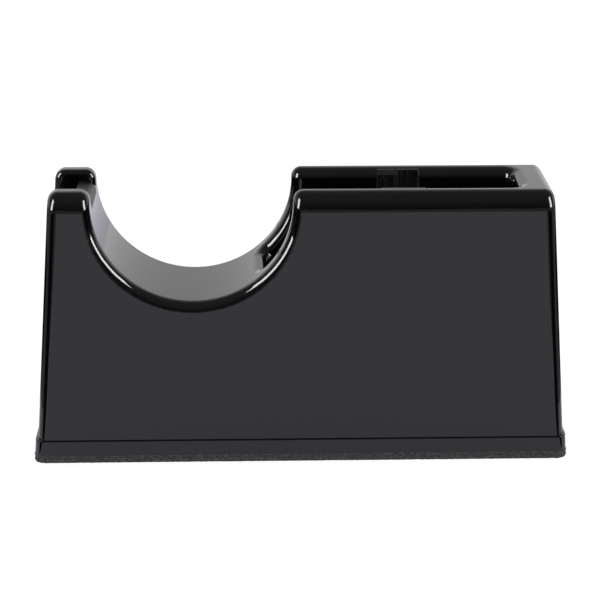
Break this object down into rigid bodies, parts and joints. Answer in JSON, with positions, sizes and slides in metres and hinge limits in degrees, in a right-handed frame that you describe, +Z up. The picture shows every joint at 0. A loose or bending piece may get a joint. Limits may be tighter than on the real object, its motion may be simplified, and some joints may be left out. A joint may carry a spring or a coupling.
{
  "type": "desktop tape dispenser",
  "caption": "Weighted desktop tape dispenser with a horn cutter, round finger dip, open reel well, lift-out axle and free-turning core hub.",
  "frame": {"origin": "middle of the foot pad's underside, on the surface that the dispenser stands on", "axes": "+Z up, +X from the cutter horn towards the reel well, -Y the long side that faces the camera"},
  "size_m": [0.2462, 0.062, 0.1265],
  "materials": {
    "housing_plastic": "high gloss moulded",
    "plate_plastic": "fine moulded grain",
    "foam_rubber": "gritty cut foam",
    "screw_steel": "zinc plated",
    "ballast_iron": "sand cast",
    "guide_plastic": "satin moulded",
    "blade_steel": "ground",
    "pin_steel": "turned",
    "washer_plastic": "natural acetal",
    "hub_plastic": "satin moulded"
  },
  "bodies": {
    "dispenser": {"body_shell": "housing_plastic", "base_plate": "plate_plastic", "foot_pad": "foam_rubber", "base_screws": "screw_steel", "ballast_screws": "screw_steel", "ballast_front": "ballast_iron", "ballast_rear": "ballast_iron", "axle_guide_near": "guide_plastic", "axle_guide_far": "guide_plastic", "cutter_holder": "guide_plastic", "cutter_blade": "blade_steel", "blade_rivets": "blade_steel"},
    "axle": {"axle_pin": "pin_steel", "axle_shoe_near": "guide_plastic", "axle_shoe_far": "guide_plastic"},
    "hub": {"hub_half_near": "hub_plastic", "hub_half_far": "hub_plastic", "hub_bush": "washer_plastic", "hub_screws": "screw_steel", "drag_washer_near": "washer_plastic", "drag_washer_far": "washer_plastic"}
  },
  "joints": [
    {"name": "axle_lift", "type": "slide", "parent": "dispenser", "child": "axle", "axis": [0, 0, 1], "range_m": [0, 0.1]},
    {"name": "hub_spin", "type": "hinge", "parent": "axle", "child": "hub", "pos_m": [0.0496, 0, 0.0765], "axis": [0, 1, 0], "continuous": true}
  ]
}
